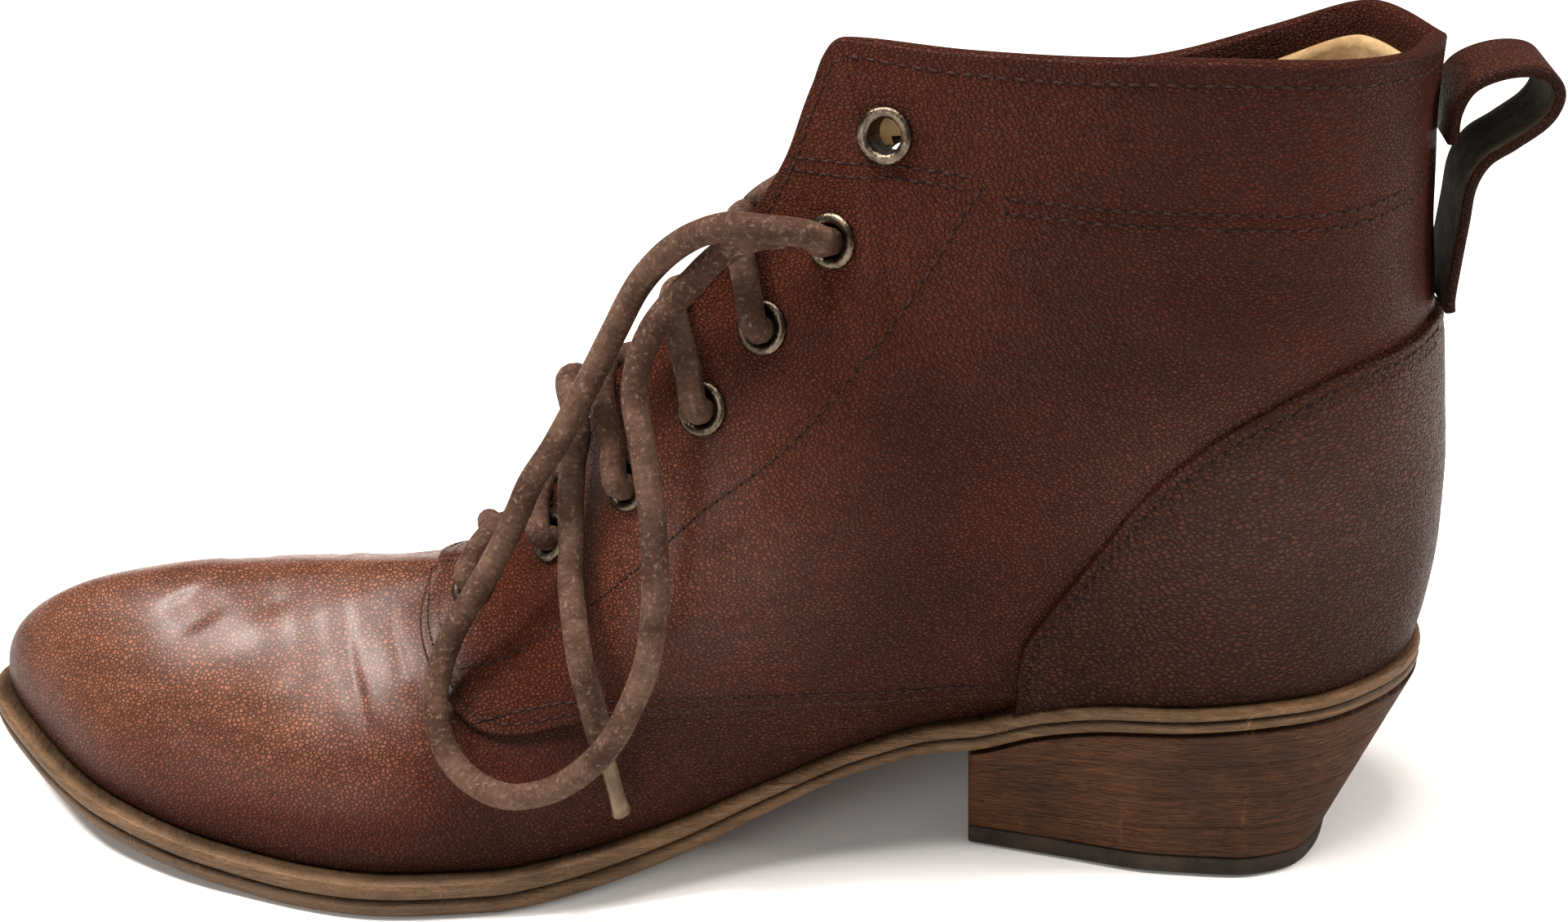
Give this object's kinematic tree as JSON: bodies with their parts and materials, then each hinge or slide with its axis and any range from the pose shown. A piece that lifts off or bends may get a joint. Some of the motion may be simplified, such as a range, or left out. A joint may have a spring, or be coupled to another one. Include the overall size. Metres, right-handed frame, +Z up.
{
  "type": "ankle boot",
  "caption": "Lace-up leather ankle boot with an almond toe, leather sole, stacked block heel, back counter and a pull loop up the back.",
  "frame": {"origin": "middle of the heel's flat walking face, on the floor", "axes": "+X from toe to heel along the sole, -Y towards the medial (inner) side, +Z up"},
  "size_m": [0.2823, 0.0959, 0.1505],
  "materials": {
    "brown_leather": "polished, lightly worn",
    "counter_leather": "polished, fine grain",
    "sole_leather": "worn edge dressing",
    "stacked_leather": "sanded and waxed",
    "heel_rubber": "matte",
    "lining_leather": "matte",
    "strap_leather": "satin",
    "aged_brass": "darkened",
    "waxed_cord": "waxed, braided",
    "clear_tip": "cloudy, translucent"
  },
  "bodies": {
    "root": {"outsole": "sole_leather", "welt": "sole_leather", "insole": "lining_leather", "heel_stack": "stacked_leather", "heel_top_piece": "heel_rubber", "upper": "brown_leather", "quarter_medial": "brown_leather", "quarter_lateral": "brown_leather", "counter": "counter_leather", "tongue": "brown_leather", "pull_loop": "strap_leather", "eyelet_medial_1": "aged_brass", "eyelet_medial_2": "aged_brass", "eyelet_medial_3": "aged_brass", "eyelet_medial_4": "aged_brass", "eyelet_medial_5": "aged_brass", "eyelet_medial_6": "aged_brass", "eyelet_medial_7": "aged_brass", "eyelet_lateral_1": "aged_brass", "eyelet_lateral_2": "aged_brass", "eyelet_lateral_3": "aged_brass", "eyelet_lateral_4": "aged_brass", "eyelet_lateral_5": "aged_brass", "eyelet_lateral_6": "aged_brass", "eyelet_lateral_7": "aged_brass", "lace_crossing_1": "waxed_cord", "lace_crossing_2": "waxed_cord", "lace_crossing_3": "waxed_cord", "lace_crossing_4": "waxed_cord", "lace_crossing_5": "waxed_cord", "lace_loop": "waxed_cord", "lace_end": "waxed_cord", "lace_tip": "clear_tip"}
  },
  "joints": []
}
